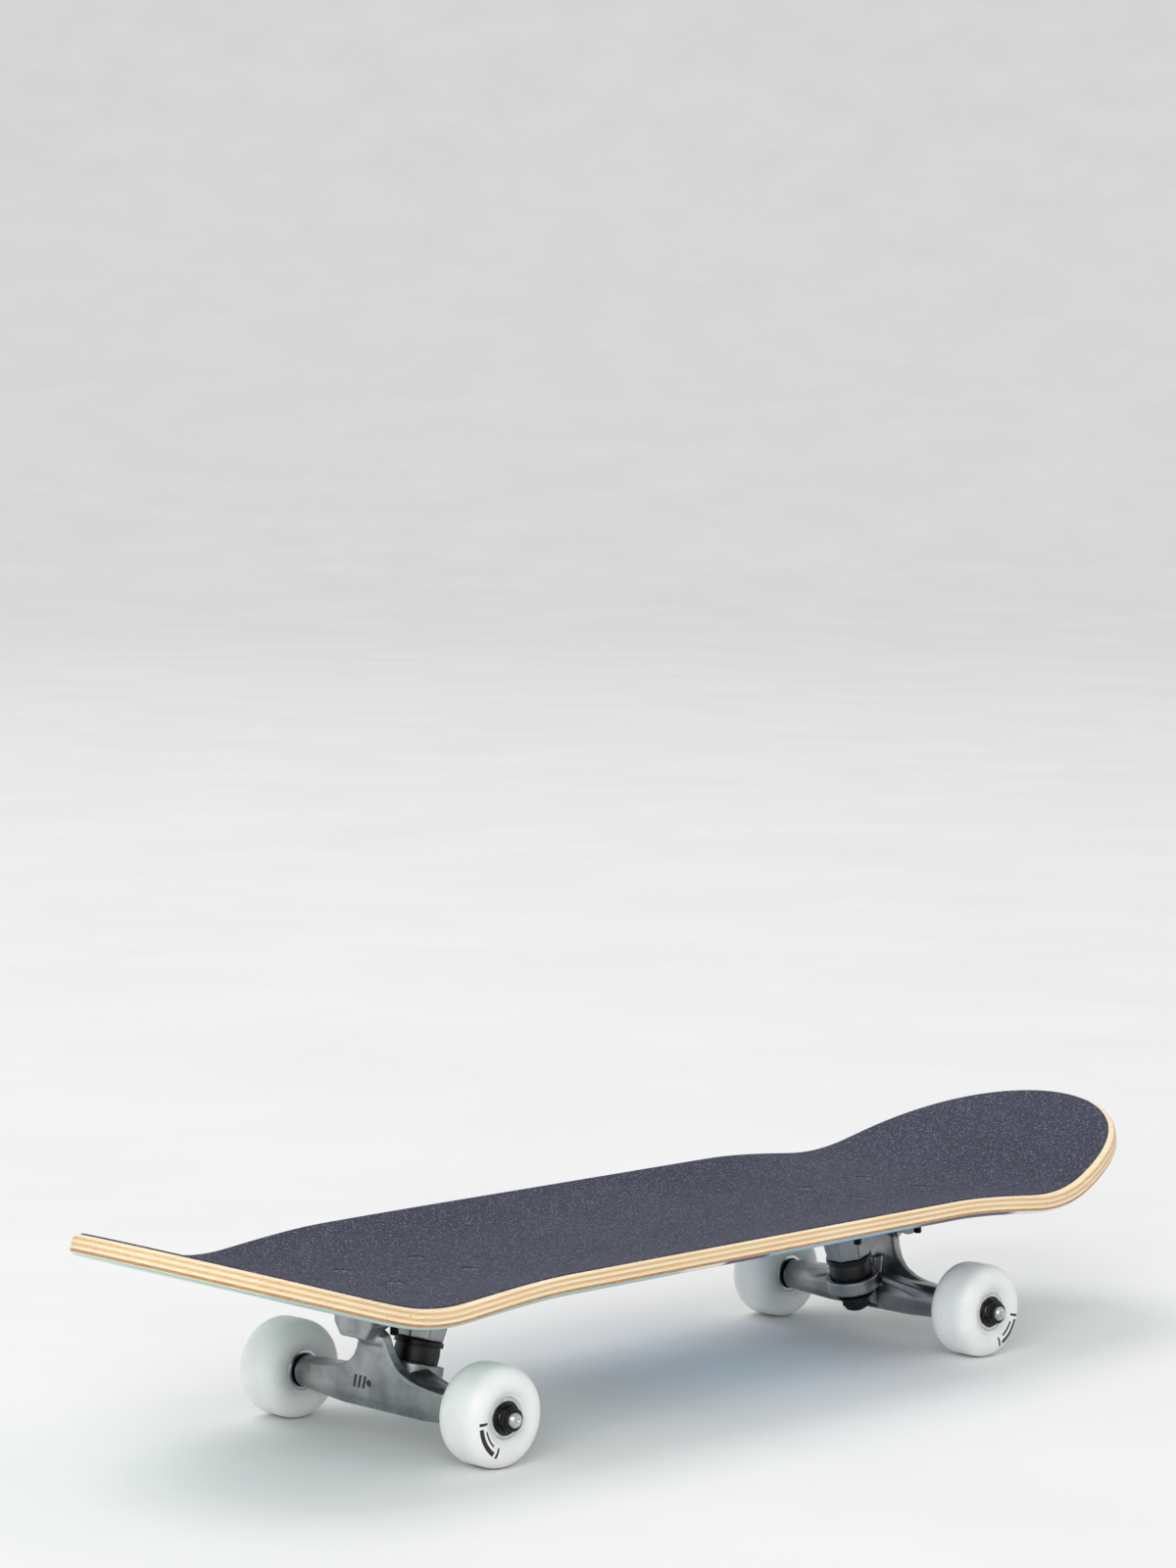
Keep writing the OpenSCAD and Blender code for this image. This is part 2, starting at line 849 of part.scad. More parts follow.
griptape();
deck_ply(1);  // deck_ply_1
deck_ply(2);  // deck_ply_2
deck_ply(3);  // deck_ply_3
deck_ply(4);  // deck_ply_4
deck_ply(5);  // deck_ply_5
deck_ply(6);  // deck_ply_6
deck_ply(7);  // deck_ply_7
baseplate(nose);  // nose_baseplate
pivot_cup(nose);  // nose_pivot_cup
kingpin(nose);  // nose_kingpin
kingpin_nut(nose);  // nose_kingpin_nut
board_washer(nose);  // nose_board_washer
road_washer(nose);  // nose_road_washer
board_bushing(nose);  // nose_board_bushing
road_bushing(nose);  // nose_road_bushing
deck_bolts(nose);  // nose_deck_bolts
deck_nuts(nose);  // nose_deck_nuts
baseplate(tail);  // tail_baseplate
pivot_cup(tail);  // tail_pivot_cup
kingpin(tail);  // tail_kingpin
kingpin_nut(tail);  // tail_kingpin_nut
board_washer(tail);  // tail_board_washer
road_washer(tail);  // tail_road_washer
board_bushing(tail);  // tail_board_bushing
road_bushing(tail);  // tail_road_bushing
deck_bolts(tail);  // tail_deck_bolts
deck_nuts(tail);  // tail_deck_nuts
hanger(nose);  // nose_hanger
axle(nose);  // nose_axle
inner_races(nose);  // nose_inner_races
bearing_spacers(nose);  // nose_bearing_spacers
axle_washers(nose);  // nose_axle_washers
axle_nuts(nose);  // nose_axle_nuts
hanger(tail);  // tail_hanger
axle(tail);  // tail_axle
inner_races(tail);  // tail_inner_races
bearing_spacers(tail);  // tail_bearing_spacers
axle_washers(tail);  // tail_axle_washers
axle_nuts(tail);  // tail_axle_nuts
wheel(nose, left);  // nose_left_wheel
outer_races(nose, left);  // nose_left_outer_races
bearing_shields(nose, left);  // nose_left_bearing_shields
balls(nose, left);  // nose_left_balls
ball_cages(nose, left);  // nose_left_ball_cages
wheel(nose, right);  // nose_right_wheel
outer_races(nose, right);  // nose_right_outer_races
bearing_shields(nose, right);  // nose_right_bearing_shields
balls(nose, right);  // nose_right_balls
ball_cages(nose, right);  // nose_right_ball_cages
wheel(tail, left);  // tail_left_wheel
outer_races(tail, left);  // tail_left_outer_races
bearing_shields(tail, left);  // tail_left_bearing_shields
balls(tail, left);  // tail_left_balls
ball_cages(tail, left);  // tail_left_ball_cages
wheel(tail, right);  // tail_right_wheel
outer_races(tail, right);  // tail_right_outer_races
bearing_shields(tail, right);  // tail_right_bearing_shields
balls(tail, right);  // tail_right_balls
ball_cages(tail, right);  // tail_right_ball_cages
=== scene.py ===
import json
import math
import bpy
import bmesh
from mathutils import Matrix, Vector


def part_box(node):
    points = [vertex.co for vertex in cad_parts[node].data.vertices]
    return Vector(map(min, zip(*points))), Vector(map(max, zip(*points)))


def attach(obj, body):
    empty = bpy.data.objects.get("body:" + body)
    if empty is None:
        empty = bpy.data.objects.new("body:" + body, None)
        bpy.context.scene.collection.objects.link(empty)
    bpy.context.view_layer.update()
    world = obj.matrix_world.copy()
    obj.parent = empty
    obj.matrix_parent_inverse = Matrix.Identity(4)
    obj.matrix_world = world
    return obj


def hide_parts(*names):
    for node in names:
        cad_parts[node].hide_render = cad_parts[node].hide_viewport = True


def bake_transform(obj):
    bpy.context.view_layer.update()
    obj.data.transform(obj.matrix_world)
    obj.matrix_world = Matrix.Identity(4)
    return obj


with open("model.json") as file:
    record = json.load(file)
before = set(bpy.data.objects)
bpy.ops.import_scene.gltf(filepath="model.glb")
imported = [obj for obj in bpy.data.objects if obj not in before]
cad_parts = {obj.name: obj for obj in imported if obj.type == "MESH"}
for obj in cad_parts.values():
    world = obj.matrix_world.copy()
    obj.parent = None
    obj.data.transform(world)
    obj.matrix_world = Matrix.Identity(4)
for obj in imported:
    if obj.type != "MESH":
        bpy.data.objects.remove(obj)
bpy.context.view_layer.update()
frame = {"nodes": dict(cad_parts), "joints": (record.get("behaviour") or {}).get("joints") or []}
mm = 0.001
ends = {"nose": 1, "tail": -1}
sides = {"left": 1, "right": -1}
print("frame loaded")


# Camera, floor and light

camera = {
    "place": (-1.6942, -1.5953, 0.5232),
    "right": (0.69607, -0.71786, 0.01266),
    "up": (0.04962, 0.06569, 0.99661),
    "forward": (0.71626, 0.69308, -0.08135),
    "lens": 98.0,
    "sensor": 36.0,
}
studio = {
    "floorReach": 9.0,
    "sweepRise": 9.0,
    "sweepSteps": 16,
    "floorSides": 96,
    "keyPlace": (-1.6, 3.6, 8.4),
    "keySize": 6.5,
    "keyPower": 200.0,
    "fillPlace": (-6.0, -4.0, 4.0),
    "fillSize": 6.0,
    "fillPower": 250.0,
    "worldColour": (1.0, 1.0, 1.0, 1.0),
    "worldStrength": 0.71,
    "aim": (0.0, 0.0, 0.05),
}


def setCamera():
    data = bpy.data.cameras.new("camera")
    data.lens = camera["lens"]
    data.sensor_width = camera["sensor"]
    data.sensor_fit = "AUTO"
    data.clip_start = 0.02
    seen = bpy.data.objects.new("camera", data)
    right, up, forward = (Vector(camera[k]).normalized() for k in ("right", "up", "forward"))
    turn = Matrix((right, up, -forward)).transposed().to_4x4()
    seen.matrix_world = Matrix.Translation(camera["place"]) @ turn
    bpy.context.scene.collection.objects.link(seen)
    bpy.context.scene.camera = seen


def softLight(name, place, size, power):
    data = bpy.data.lights.new(name, "AREA")
    data.shape = "DISK"
    data.size = size
    data.energy = power
    lamp = bpy.data.objects.new(name, data)
    aim = Vector(studio["aim"]) - Vector(place)
    lamp.matrix_world = Matrix.Translation(place) @ aim.to_track_quat("-Z", "Y").to_matrix().to_4x4()
    bpy.context.scene.collection.objects.link(lamp)


# Shader maths

def colour(red, green, blue):
    # Screen values from 0 to 255, turned into the shader's own scale
    parts = [c / 255 for c in (red, green, blue)]
    return tuple(c / 12.92 if c < 0.04045 else ((c + 0.055) / 1.055) ** 2.4 for c in parts) + (1.0,)


class Signal:
    def __init__(self, look, socket):
        self.look = look
        self.socket = socket

    def maths(self, operation, first, second=0.0):
        return self.look.node("ShaderNodeMath", {"operation": operation}, {0: first, 1: second})

    def __add__(self, other): return self.maths("ADD", self, other)
    def __radd__(self, other): return self.maths("ADD", other, self)
    def __sub__(self, other): return self.maths("SUBTRACT", self, other)
    def __rsub__(self, other): return self.maths("SUBTRACT", other, self)
    def __mul__(self, other): return self.maths("MULTIPLY", self, other)
    def __rmul__(self, other): return self.maths("MULTIPLY", other, self)
    def __pow__(self, other): return self.maths("POWER", self, other)
    def __gt__(self, other): return self.maths("GREATER_THAN", self, other)
    def __lt__(self, other): return self.maths("LESS_THAN", self, other)
    def __abs__(self): return self.maths("ABSOLUTE", self)


class Look:
    def __init__(self, name):
        self.material = bpy.data.materials.new(name)
        self.material.use_nodes = True
        self.tree = self.material.node_tree
        self.tree.nodes.clear()

    def node(self, kind, settings=None, values=None, out=0):
        made = self.tree.nodes.new(kind)
        for name, value in (settings or {}).items():
            if name == "stops":
                self.setStops(made.color_ramp, value)
            else:
                setattr(made, name, value)
        for name, value in (values or {}).items():
            if isinstance(value, Signal):
                self.tree.links.new(value.socket, made.inputs[name])
            else:
                made.inputs[name].default_value = value
        return Signal(self, made.outputs[out]) if made.outputs else None

    def setStops(self, ramp, stops):
        while len(ramp.elements) < len(stops):
            ramp.elements.new(1.0)
        for element, (place, tint) in zip(ramp.elements, stops):
            element.position = place
            element.color = tint

    def place(self):
        return self.node("ShaderNodeTexCoord", out="Object")

    def stretched(self, vector, by):
        return self.node("ShaderNodeVectorMath", {"operation": "MULTIPLY"}, {0: vector, 1: by})

    def moved(self, vector, by):
        return self.node("ShaderNodeVectorMath", {"operation": "SUBTRACT"}, {0: vector, 1: by})

    def axes(self, vector):
        split = self.node("ShaderNodeSeparateXYZ", None, {0: vector})
        sockets = split.socket.node.outputs
        return [Signal(self, sockets[k]) for k in range(3)]

    def noise(self, vector, scale, detail=2.0, rough=0.5, bend=0.0, out="Fac"):
        return self.node("ShaderNodeTexNoise", None, {
            "Vector": vector, "Scale": scale, "Detail": detail, "Roughness": rough,
            "Distortion": bend}, out)

    def cells(self, vector, scale, feature="F1", out="Distance"):
        return self.node("ShaderNodeTexVoronoi", {"feature": feature}, {
            "Vector": vector, "Scale": scale}, out)

    def spread(self, value, low, high, start=0.0, stop=1.0):
        return self.node("ShaderNodeMapRange", {"interpolation_type": "SMOOTHSTEP"}, {
            0: value, 1: low, 2: high, 3: start, 4: stop})

    def mixed(self, share, first, second, blend="MIX"):
        return self.node("ShaderNodeMix", {"data_type": "RGBA", "blend_type": blend}, {
            0: share, 6: first, 7: second}, 2)

    def ramp(self, value, stops, kind="LINEAR"):
        made = self.node("ShaderNodeValToRGB", {"stops": stops}, {0: value})
        made.socket.node.color_ramp.interpolation = kind
        return made

    def bumped(self, height, strength, depth, under=None):
        values = {"Height": height, "Strength": strength, "Distance": depth}
        if under:
            values["Normal"] = under
        return self.node("ShaderNodeBump", None, values)

    def surface(self, **values):
        sockets = {name.replace("_", " "): value for name, value in values.items()}
        shader = self.node("ShaderNodeBsdfPrincipled", None, sockets)
        self.node("ShaderNodeOutputMaterial", None, {"Surface": shader})
        return self.material


def gripLook():
    look = Look("gripGrit")
    place = look.place()
    grain = look.cells(place, 1500, out="Color")
    chance = look.axes(grain)[0]
    body = look.cells(place, 1500)
    dust = look.noise(place, 2300, 2.0, 0.6)
    drift = look.noise(place, 9, 3.0, 0.6)
    base = look.mixed(look.spread(dust, 0.3, 0.7), colour(23, 25, 38), colour(64, 67, 91))
    tinted = look.mixed(look.spread(drift, 0.3, 0.7, 0.0, 0.16), base, colour(80, 83, 102))
    # Random cells lightened towards pale blue-grey: painted glints of the grit
    paintedGlint = look.spread(chance, 0.84, 0.98, 0.0, 0.5)
    withPaintedGlints = look.mixed(paintedGlint, tinted, colour(164, 170, 188))
    # Other random cells darkened: painted shade of pits between the grains
    paintedPitShade = look.spread(chance, 0.0, 0.16, 0.6, 0.0)
    withPaintedPitShade = look.mixed(paintedPitShade, withPaintedGlints, colour(20, 21, 27))
    height = 1.0 - body * 1.2 + dust * 0.6
    return look.surface(
        Base_Color=withPaintedPitShade, Roughness=0.66 + dust * 0.25,
        Normal=look.bumped(height, 0.55, 0.00035), Specular_IOR_Level=0.42)


def mapleLook(name, pale, deep, along, line=0.35):
    # along: how the grain runs, as scales on the three axes
    look = Look(name)
    place = look.place()
    wave = look.noise(look.stretched(place, along), 1.0, 4.0, 0.62, 0.6)
    fibre = look.noise(look.stretched(place, tuple(4.2 * a for a in along)), 1.0, 2.0, 0.7)
    fleck = look.noise(look.stretched(place, (260, 900, 900)), 1.0, 1.0, 0.5)
    drift = look.noise(place, 17, 2.0)
    tone = look.mixed(look.spread(wave, 0.3, 0.72), pale, deep)
    streak = look.mixed(look.spread(fibre, 0.52, 0.78, 0.0, line), tone, deep, "MULTIPLY")
    spot = look.mixed(look.spread(fleck, 0.66, 0.8, 0.0, 0.3), streak, colour(120, 82, 48), "MULTIPLY")
    warm = look.mixed(look.spread(drift, 0.35, 0.7, 0.0, 0.12), spot, colour(236, 205, 160), "MULTIPLY")
    return look.surface(
        Base_Color=warm, Roughness=0.5 + fibre * 0.2,
        Normal=look.bumped(fibre + fleck * 0.5, 0.12, 0.00012), Specular_IOR_Level=0.4)


def graphicLook():
    look = Look("printedPly")
    place = look.place()
    bent = look.noise(look.stretched(place, (2.4, 7.0, 1.0)), 1.0, 2.0, 0.4, 0.2)
    east, north, height = look.axes(place)
    flow = east * 3.1 + north * 1.5 + bent * 1.5
    band = look.node("ShaderNodeMath", {"operation": "PINGPONG"}, {0: flow, 1: 1.0})
    tint = look.ramp(band, [
        (0.0, colour(170, 204, 197)), (0.40, colour(176, 208, 201)), (0.43, colour(240, 244, 240)),
        (0.55, colour(240, 244, 240)), (0.575, colour(38, 50, 88)), (0.74, colour(44, 58, 100)),
        (0.765, colour(132, 186, 218)), (1.0, colour(150, 200, 226))])
    tail = look.spread(east, -0.30, -0.12, 1.0, 0.0)
    mint = look.mixed(look.spread(bent, 0.30, 0.72), colour(168, 202, 195), colour(184, 212, 206))
    whole = look.mixed(tail, tint, mint)
    scuff = look.noise(look.stretched(place, (30, 240, 60)), 1.0, 4.0, 0.7)
    worn = look.mixed(look.spread(scuff, 0.70, 0.84, 0.0, 0.35), whole, colour(226, 208, 176))
    fibre = look.noise(look.stretched(place, (20, 900, 200)), 1.0, 2.0, 0.6)
    return look.surface(
        Base_Color=worn, Roughness=0.22 + scuff * 0.2, Normal=look.bumped(fibre, 0.08, 0.0001),
        Coat_Weight=0.3, Coat_Roughness=0.12)


def castLook(name, centre, marks=False):
    look = Look(name)
    place = look.place()
    cloud = look.noise(place, 55, 3.0, 0.55)
    grain = look.noise(place, 1500, 2.0, 0.6)
    dents = look.cells(place, 420, "SMOOTH_F1")
    streak = look.noise(look.stretched(place, (300, 40, 300)), 1.0, 3.0, 0.6)
    tone = look.mixed(look.spread(cloud, 0.3, 0.7), colour(134, 136, 139), colour(170, 172, 174))
    soiled = look.mixed(look.spread(streak, 0.55, 0.8, 0.0, 0.3), tone, colour(118, 119, 122))
    shine = 0.24 + cloud * 0.10 + grain * 0.10
    metal = 1.0
    if marks:
        stamp = printedMark(look, place, centre)
        soiled = look.mixed(stamp, soiled, colour(20, 20, 22))
        metal = 1.0 - stamp
    relief = look.bumped(grain * 0.6 + dents, 0.16, 0.00016)
    return look.surface(Base_Color=soiled, Metallic=metal, Roughness=shine, Normal=relief)


mark = {
    "starts": (0.0155, 0.0120, 0.0085), "width": 0.0019, "lean": 0.35, "low": 0.0005, "high": 0.0075,
    "dotNorth": 0.0045, "dotHeight": 0.004, "dotRadius": 0.0019, "outerSide": -0.004,
}


def printedMark(look, place, centre):
    # A plain mark of three leaning bars and a dot, on the outer face only
    east, north, height = look.axes(look.moved(place, centre))
    lean = north + height * mark["lean"]
    bars = None
    for start in mark["starts"]:
        bar = (lean > start) * (lean < start + mark["width"])
        bars = bar if bars is None else bars + bar
    rows = (height > mark["low"]) * (height < mark["high"])
    across, up = north - mark["dotNorth"], height - mark["dotHeight"]
    dot = (across * across + up * up) < mark["dotRadius"] ** 2
    return (bars * rows + dot) * (east < mark["outerSide"])


def steelLook(name, pale, deep, rough, metal=1.0, scratch=0.25, relief=0.08):
    look = Look(name)
    place = look.place()
    cloud = look.noise(place, 130, 3.0, 0.6)
    fine = look.noise(place, 1900, 2.0, 0.6)
    turned = look.noise(look.stretched(place, (500, 2600, 500)), 1.0, 2.0, 0.5)
    tone = look.mixed(look.spread(cloud, 0.3, 0.7), deep, pale)
    rubbed = look.mixed(look.spread(fine, 0.62, 0.8, 0.0, scratch), tone, pale)
    return look.surface(
        Base_Color=rubbed, Metallic=metal, Roughness=rough + cloud * 0.12,
        Normal=look.bumped(turned + fine * 0.4, relief, 0.00008))


def urethaneLook(name, pale, deep, rough, glow=0.0):
    look = Look(name)
    place = look.place()
    cloud = look.noise(place, 75, 3.0, 0.6)
    fine = look.noise(place, 1300, 2.0, 0.6)
    dust = look.noise(place, 420, 4.0, 0.7)
    tone = look.mixed(look.spread(cloud, 0.3, 0.7), deep, pale)
    dusty = look.mixed(look.spread(dust, 0.62, 0.84, 0.0, 0.3), tone, colour(128, 128, 130))
    return look.surface(
        Base_Color=dusty, Roughness=rough + cloud * 0.12 + fine * 0.06,
        Normal=look.bumped(fine, 0.06, 0.0001), Subsurface_Weight=glow,
        Subsurface_Scale=0.003)


wheelInk = {
    "arc": (0.0188, 0.0212, 0.42), "inner": (0.0160, 0.0172, 0.30), "stroke": (0.0156, 0.0212),
    "strokeFrom": 0.50, "strokeTo": 0.58, "faceFrom": 0.0128, "dustFrom": 0.0255, "dustFull": 0.0264,
}


def wheelLook(name, hub, outward, turn):
    # hub: the wheel's centre; outward: 1 or -1 along Y; turn: where the printed arcs stand
    look = Look(name)
    place = look.place()
    across = look.moved(place, tuple(hub))
    east, side, height = look.axes(across)
    reach = (east * east + height * height) ** 0.5
    angle = look.node("ShaderNodeMath", {"operation": "ARCTAN2"}, {0: height, 1: east})
    wrapped = look.node("ShaderNodeMath", {"operation": "WRAP"}, {0: angle - turn, 1: math.pi, 2: -math.pi})
    off = abs(wrapped)
    arc, inner = (
        (reach > near) * (reach < far) * (off < spread)
        for near, far, spread in (wheelInk["arc"], wheelInk["inner"]))
    near, far = wheelInk["stroke"]
    stroke = (reach > near) * (reach < far) * (off > wheelInk["strokeFrom"]) * (off < wheelInk["strokeTo"])
    face = side * outward > wheelInk["faceFrom"]
    stamp = (arc + inner + stroke) * face
    cloud = look.noise(place, 60, 3.0, 0.6)
    fine = look.noise(place, 1200, 2.0, 0.6)
    dust = look.noise(place, 240, 4.0, 0.72)
    tone = look.mixed(look.spread(cloud, 0.3, 0.7), colour(236, 239, 237), colour(244, 246, 244))
    tread = look.spread(reach, wheelInk["dustFrom"], wheelInk["dustFull"], 0.0, 0.35)
    dusty = look.mixed(look.spread(dust, 0.52, 0.8) * tread, tone, colour(188, 190, 186))
    inked = look.mixed(stamp, dusty, colour(24, 25, 27))
    return look.surface(
        Base_Color=inked, Roughness=0.36 + cloud * 0.10 + fine * 0.06,
        Normal=look.bumped(fine, 0.05, 0.0001), Subsurface_Weight=0.25, Subsurface_Scale=0.004,
        Coat_Weight=0.08, Coat_Roughness=0.3)


# Making pieces

def spun(profile, steps=96, ring=True):
    # profile: (radius, height) in millimetres; a ring closes on itself, a rod starts and ends on the axis
    shape = bmesh.new()
    points = [shape.verts.new((radius, 0, height)) for radius, height in profile]
    lines = [shape.edges.new(pair) for pair in zip(points, points[1:])]
    if ring:
        lines.append(shape.edges.new((points[-1], points[0])))
    bmesh.ops.spin(
        shape, geom=points + lines, cent=(0, 0, 0), axis=(0, 0, 1), dvec=(0, 0, 0),
        angle=2 * math.pi, steps=steps, use_merge=True, use_duplicate=False)
    bmesh.ops.remove_doubles(shape, verts=shape.verts, dist=1e-4)
    bmesh.ops.recalc_face_normals(shape, faces=shape.faces)
    return shape


def rounded(profile, radius, steps=4, ring=True):
    # Each corner gives way to a short curve; radius is one size or one for each corner
    sizes = radius if isinstance(radius, (list, tuple)) else [radius] * len(profile)
    out = []
    count = len(profile)
    for k, corner in enumerate(profile):
        if sizes[k] <= 0 or (not ring and k in (0, count - 1)):
            out.append(tuple(corner))
            continue
        here = Vector(corner)
        legs = []
        for other in (profile[k - 1], profile[(k + 1) % count]):
            leg = Vector(other) - here
            legs.append(leg.normalized() * min(sizes[k], leg.length * 0.49))
        for s in range(steps + 1):
            t = s / steps
            out.append(tuple(here + legs[0] * (1 - t) ** 2 + legs[1] * t ** 2))
    return out


def prism(sides, acrossFlats, low, high):
    shape = bmesh.new()
    corner = acrossFlats / 2 / math.cos(math.pi / sides)
    bmesh.ops.create_cone(
        shape, cap_ends=True, cap_tris=False, segments=sides, radius1=corner, radius2=corner,
        depth=high - low, matrix=Matrix.Translation((0, 0, (low + high) / 2)))
    return shape


def carved(shape, tool, operation="DIFFERENCE"):
    # Runs a boolean between two shapes and gives the result
    pair = []
    for part in (shape, tool):
        mesh = bpy.data.meshes.new("carving")
        part.to_mesh(mesh)
        part.free()
        body = bpy.data.objects.new("carving", mesh)
        bpy.context.scene.collection.objects.link(body)
        pair.append(body)
    knife = pair[0].modifiers.new("knife", "BOOLEAN")
    knife.object = pair[1]
    knife.operation = operation
    knife.solver = "EXACT"
    return bakedShape(pair)


def bakedShape(pair):
    bpy.context.view_layer.update()
    ready = pair[0].evaluated_get(bpy.context.evaluated_depsgraph_get())
    mesh = bpy.data.meshes.new_from_object(ready)
    result = bmesh.new()
    result.from_mesh(mesh)
    bpy.data.meshes.remove(mesh)
    for body in pair:
        left = body.data
        bpy.data.objects.remove(body)
        bpy.data.meshes.remove(left)
    return result


def gathered(shape, places):
    # The same shape set down at each place, as separate solids of one piece
    mesh = bpy.data.meshes.new("single")
    shape.to_mesh(mesh)
    shape.free()
    whole = bmesh.new()
    for place in places:
        known = set(whole.verts)
        whole.from_mesh(mesh)
        bmesh.ops.transform(whole, matrix=place, verts=[v for v in whole.verts if v not in known])
    bpy.data.meshes.remove(mesh)
    return whole


def addPiece(name, shape, looks, place=None, angle=35.0, scale=mm):
    if place is not None:
        bmesh.ops.transform(shape, matrix=place, verts=shape.verts)
    if scale != 1.0:
        bmesh.ops.scale(shape, vec=(scale, scale, scale), verts=shape.verts)
    bmesh.ops.recalc_face_normals(shape, faces=shape.faces)
    mesh = bpy.data.meshes.new(name)
    shape.to_mesh(mesh)
    shape.free()
    for look in looks if isinstance(looks, list) else [looks]:
        mesh.materials.append(look)
    mesh.shade_smooth()
    mesh.set_sharp_from_angle(angle=math.radians(angle))
    piece = bpy.data.objects.new(name, mesh)
    bpy.context.scene.collection.objects.link(piece)
    return piece


def standIn(piece, body, slot, *nodes):
    if body:
        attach(piece, body)
    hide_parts(*nodes)
    return piece


# Places on the trucks, in millimetres, from the frame's joints and boxes

jointAt = {joint["name"]: joint for joint in frame["joints"]}


def hubCentre(end, side):
    return Vector(jointAt[f"{end}_{side}_wheel_spin"]["pos_m"]) / mm


def axisPlace(end, origin, axis):
    up = Vector(axis).normalized()
    across = Vector((0, -ends[end], 0))
    turn = Matrix((across.cross(up), across, up)).transposed().to_4x4()
    return Matrix.Translation(origin) @ turn


def boxMiddle(node):
    low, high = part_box(node)
    return (low + high) / 2 / mm


washerSpan = {"boardRim": 3.0}


def kingpinPlace(end):
    board, road = boxMiddle(f"{end}_board_washer"), boxMiddle(f"{end}_road_washer")
    axis = (board - road).normalized()
    return axisPlace(end, board + axis * washerSpan["boardRim"] / 2, axis)


def steerPlace(end):
    joint = jointAt[f"{end}_steer"]
    return axisPlace(end, Vector(joint["pos_m"]) / mm, joint["axis"])


def hubPlace(end, side):
    # The axis along Z, pointing outboard
    turn = Matrix.Rotation(math.radians(-90 * sides[side]), 4, "X")
    return Matrix.Translation(hubCentre(end, side)) @ turn


# Deck

deck = {
    "width": 196.0, "plies": 7, "ply": 1.5, "grip": 0.8, "gripInset": 3.5, "glue": 0.05,
    "edgeRadius": 3.2, "concave": 9.5, "flat": 30.0, "concavePower": 1.96,
    "fadeStart": 73.0, "fadeRun": 135.0, "taperStart": 60.0, "taperRun": 240.0,
    "stations": 84, "columns": 40, "hiddenColumns": 12, "wallCuts": 3,
}
kicks = {
    1: {"length": 380.0, "flat": 229.5, "angle": 17.7, "bend": 154.0, "round": 180.0,
        "power": 3.28, "fullness": 1.98, "taper": 0.0},
    -1: {"length": 381.2, "flat": 224.0, "angle": 17.5, "bend": 135.0, "round": 223.0,
         "power": 3.3, "fullness": 1.93, "taper": 4.6},
}
deckThickness = deck["plies"] * deck["ply"]
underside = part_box("deck_ply_1")[0].z / mm
gripTop = underside + deckThickness + deck["grip"]


def halfWidth(end, along, inset):
    kick = kicks[end]
    share = min(1, max(0, (along - kick["round"]) / (kick["length"] - inset - kick["round"])))
    taper = kick["taper"] * (max(0, along - deck["taperStart"]) / deck["taperRun"]) ** 2
    return (deck["width"] / 2 - inset - taper) * (1 - share ** kick["power"]) ** (1 / kick["fullness"])


def kickAt(end, along):
    # Tilt, reach and rise of the middle line
    kick = kicks[end]
    full = math.radians(kick["angle"])
    tilt = min(full, max(0, along - kick["flat"]) / kick["bend"])
    straight = max(0, along - kick["flat"] - kick["bend"] * full)
    reach = min(along, kick["flat"]) + kick["bend"] * math.sin(tilt) + straight * math.cos(full)
    rise = kick["bend"] * (1 - math.cos(tilt)) + straight * math.sin(full)
    return tilt, reach, rise


middleX = (kickAt(-1, kicks[-1]["length"])[1] - kickAt(1, kicks[1]["length"])[1]) / 2


def concaveAt(end, along, north):
    reach = max(0, (abs(north) - deck["flat"]) / (deck["width"] / 2 - deck["flat"]))
    share = min(1, max(0, (along - kicks[end]["flat"] + deck["fadeStart"]) / deck["fadeRun"]))
    return deck["concave"] * reach ** deck["concavePower"] * (1 - share * share * (3 - 2 * share))


def deckPoint(end, along, north, depth):
    tilt, reach, rise = kickAt(end, along)
    lift = concaveAt(end, along, north) - depth
    return Vector((
        middleX + end * (reach - math.sin(tilt) * lift), north, gripTop + rise + math.cos(tilt) * lift))


def edgeInset(depth):
    radius = deck["edgeRadius"]
    over = max(0, abs(depth - deck["grip"] - deckThickness / 2) - (deckThickness / 2 - radius))
    return radius - math.sqrt(max(0, radius * radius - over * over))


def deckLayer(top, bottom, columns, insetAt):
    # A flat grid is given its thickness, its walls are cut, and each corner goes to its place on the deck
    shape = bmesh.new()
    bmesh.ops.create_grid(shape, x_segments=2 * deck["stations"], y_segments=columns, size=1)
    made = bmesh.ops.extrude_face_region(shape, geom=shape.faces[:])
    lifted = [v for v in made["geom"] if isinstance(v, bmesh.types.BMVert)]
    bmesh.ops.translate(shape, vec=(0, 0, 1), verts=lifted)
    walls = [e for e in shape.edges if abs(e.verts[0].co.z - e.verts[1].co.z) > 0.5]
    bmesh.ops.subdivide_edges(shape, edges=walls, cuts=deck["wallCuts"], use_grid_fill=True)
    for v in shape.verts:
        end = 1 if v.co.x >= 0 else -1
        depth = bottom + (top - bottom) * v.co.z
        inset = insetAt(depth)
        along = (kicks[end]["length"] - inset) * math.sin(math.pi / 2 * min(1, abs(v.co.x)))
        north = v.co.y * halfWidth(end, along, inset)
        v.co = deckPoint(end, along, north, depth)
    bmesh.ops.remove_doubles(shape, verts=shape.verts, dist=1e-3)
    bmesh.ops.dissolve_degenerate(shape, edges=shape.edges, dist=1e-4)
    bmesh.ops.recalc_face_normals(shape, faces=shape.faces)
    return shape


def gripInsetAt(depth):
    # The tape's cut edge leans in a little at the top
    return deck["gripInset"] + 0.3 * max(0, 1 - depth / deck["grip"])


